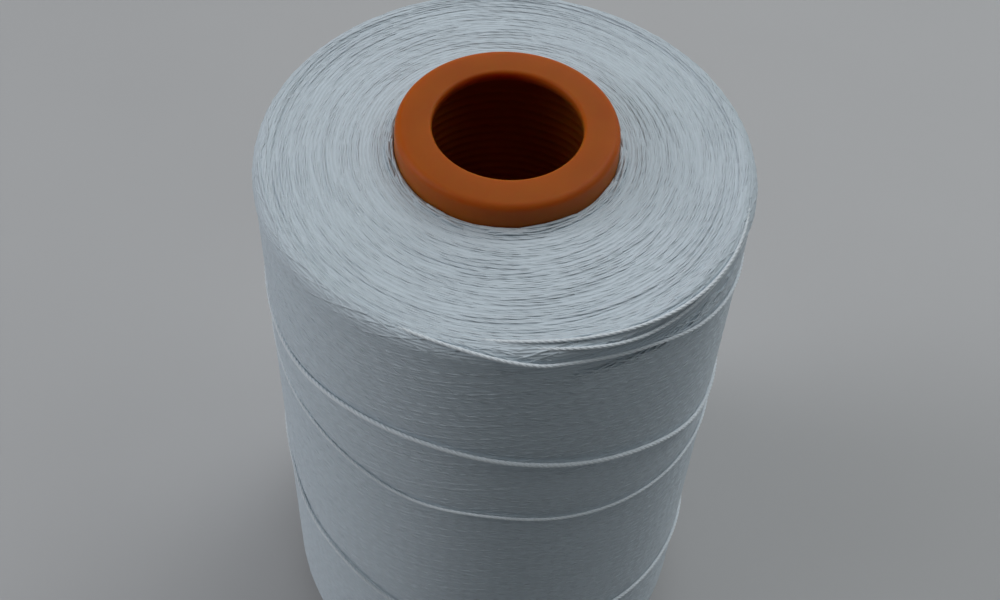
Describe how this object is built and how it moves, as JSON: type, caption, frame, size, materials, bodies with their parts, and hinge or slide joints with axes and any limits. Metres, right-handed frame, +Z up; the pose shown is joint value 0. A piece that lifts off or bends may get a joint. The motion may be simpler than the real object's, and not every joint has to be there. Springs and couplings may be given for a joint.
{
  "type": "cone of thread",
  "caption": "Cross-wound package of white sewing thread on a slim tapered orange plastic cone, whose flanged nose with its round hole stands proud of the wound end.",
  "frame": {"origin": "centre of the circle on which the plastic cone's foot stands", "axes": "+Z up along the cone's axis, from the wide foot to the nose; X and Y are alike"},
  "size_m": [0.0908, 0.0908, 0.137],
  "materials": {
    "orange_plastic": "satin moulded polypropylene, slightly translucent at its edges",
    "white_thread": "plied spun polyester thread with a soft sheen and fine fuzz"
  },
  "bodies": {
    "root": {"plastic_cone": "orange_plastic", "thread_wind": "white_thread"}
  },
  "joints": []
}
